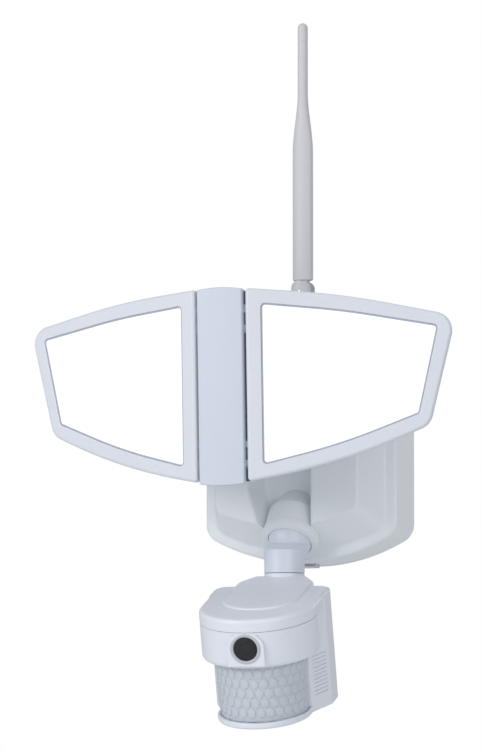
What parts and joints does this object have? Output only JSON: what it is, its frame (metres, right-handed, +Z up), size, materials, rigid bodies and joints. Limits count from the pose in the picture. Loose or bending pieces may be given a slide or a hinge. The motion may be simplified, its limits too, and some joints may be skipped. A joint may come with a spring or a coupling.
{
  "type": "floodlight security camera",
  "caption": "Wall light with two swept-back lamp panels, a fold-down aerial and a camera and motion sensor head on ball-jointed arms.",
  "frame": {"origin": "centre of the wall plate's back face, on the wall", "axes": "+X right seen from the front, +Y into the wall, +Z up along the aerial"},
  "size_m": [0.2974, 0.1695, 0.4808],
  "materials": {
    "housing_white": "satin moulded plastic",
    "head_white": "satin powder coat",
    "sensor_white": "satin moulded plastic",
    "arm_white": "satin moulded plastic",
    "aerial_grey": "soft satin plastic",
    "window_glow": "opal diffuser, lit",
    "lens_film": "ribbed translucent film",
    "camera_black": "polished black",
    "camera_clear": "dark coated glass",
    "seal_rubber": "matt",
    "board_green": "solder mask",
    "part_black": "moulded black",
    "screw_steel": "zinc plated",
    "seat_grey": "acetal",
    "heat_sink": "cast, painted",
    "reflector_white": "gloss white",
    "led_yellow": "phosphor",
    "connector_brass": "machined",
    "door_grey": "moulded grey",
    "can_steel": "pressed can"
  },
  "bodies": {
    "wall_unit": {"back_plate": "housing_white", "wall_gasket": "seal_rubber", "housing_seal": "seal_rubber", "housing_shell": "housing_white", "case_screws": "screw_steel", "driver_board": "board_green", "driver_parts": "part_black", "control_board": "board_green", "control_chips": "part_black", "terminal_block": "door_grey", "card_slot": "part_black", "lamp_clamp": "seat_grey", "sensor_clamp": "seat_grey", "aerial_connector": "connector_brass"},
    "aerial_base": {"aerial_knuckle": "aerial_grey", "aerial_pin": "screw_steel"},
    "aerial": {"aerial_blade": "aerial_grey"},
    "lamp_swivel": {"lamp_seat": "seat_grey"},
    "lamp_head": {"lamp_arm": "arm_white", "spine_frame": "head_white", "spine_cover": "head_white", "spine_screws": "screw_steel", "panel_pins": "screw_steel"},
    "left_panel": {"left_panel_frame": "head_white", "left_panel_seal": "seal_rubber", "left_panel_window": "window_glow", "left_panel_reflector": "reflector_white", "left_panel_led_board": "board_green", "left_panel_leds": "led_yellow", "left_panel_back": "heat_sink", "left_panel_screws": "screw_steel"},
    "right_panel": {"right_panel_frame": "head_white", "right_panel_seal": "seal_rubber", "right_panel_window": "window_glow", "right_panel_reflector": "reflector_white", "right_panel_led_board": "board_green", "right_panel_leds": "led_yellow", "right_panel_back": "heat_sink", "right_panel_screws": "screw_steel"},
    "sensor_swivel": {"sensor_seat": "seat_grey"},
    "sensor_arm": {"sensor_elbow": "arm_white", "pan_clip": "screw_steel"},
    "sensor_head": {"sensor_top_cap": "sensor_white", "pan_bush": "seat_grey", "camera_band": "sensor_white", "sensor_rear_shell": "sensor_white", "sensor_base": "sensor_white", "fresnel_lens": "lens_film", "camera_ring": "camera_black", "camera_glass": "camera_clear", "camera_optic": "camera_black", "camera_board": "board_green", "sensor_board": "board_green", "motion_detector": "can_steel", "speaker": "part_black"},
    "reset_button": {"reset_button": "door_grey"},
    "service_door": {"service_door": "door_grey"}
  },
  "joints": [
    {"name": "aerial_turn", "type": "hinge", "parent": "wall_unit", "child": "aerial_base", "pos_m": [0, -0.025, 0.09], "axis": [0, 0, 1], "range_deg": [-180, 180]},
    {"name": "aerial_fold", "type": "hinge", "parent": "aerial_base", "child": "aerial", "pos_m": [0, -0.025, 0.104], "axis": [0, 1, 0], "range_deg": [0, 90]},
    {"name": "lamp_turn", "type": "hinge", "parent": "wall_unit", "child": "lamp_swivel", "pos_m": [0, -0.047, 0.025], "axis": [0, 0, 1], "range_deg": [-15, 15]},
    {"name": "lamp_tilt", "type": "hinge", "parent": "lamp_swivel", "child": "lamp_head", "pos_m": [0, -0.047, 0.025], "axis": [1, 0, 0], "range_deg": [-16, 16]},
    {"name": "left_panel_fold", "type": "hinge", "parent": "lamp_head", "child": "left_panel", "pos_m": [-0.0172, -0.1605, 0.03025], "axis": [0, 0.0384, -0.9993], "range_deg": [-14, 12]},
    {"name": "right_panel_fold", "type": "hinge", "parent": "lamp_head", "child": "right_panel", "pos_m": [0.0172, -0.1605, 0.03025], "axis": [0, -0.0384, 0.9993], "range_deg": [-14, 12]},
    {"name": "sensor_turn", "type": "hinge", "parent": "wall_unit", "child": "sensor_swivel", "pos_m": [0, -0.047, -0.063], "axis": [0, 0.5736, 0.8192], "range_deg": [-20, 20]},
    {"name": "sensor_tilt", "type": "hinge", "parent": "sensor_swivel", "child": "sensor_arm", "pos_m": [0, -0.047, -0.063], "axis": [1, 0, 0], "range_deg": [-22, 12]},
    {"name": "sensor_pan", "type": "hinge", "parent": "sensor_arm", "child": "sensor_head", "pos_m": [0, -0.058, -0.087], "axis": [0, 0, 1], "range_deg": [-90, 75]},
    {"name": "reset_press", "type": "slide", "parent": "sensor_head", "child": "reset_button", "axis": [0.0457, -0.3023, 0.9521], "range_m": [0, 0.0012], "stiffness_N_per_m": 400},
    {"name": "door_swing", "type": "hinge", "parent": "wall_unit", "child": "service_door", "pos_m": [0, -0.0084, -0.0804], "axis": [1, 0, 0], "range_deg": [0, 90]}
  ]
}
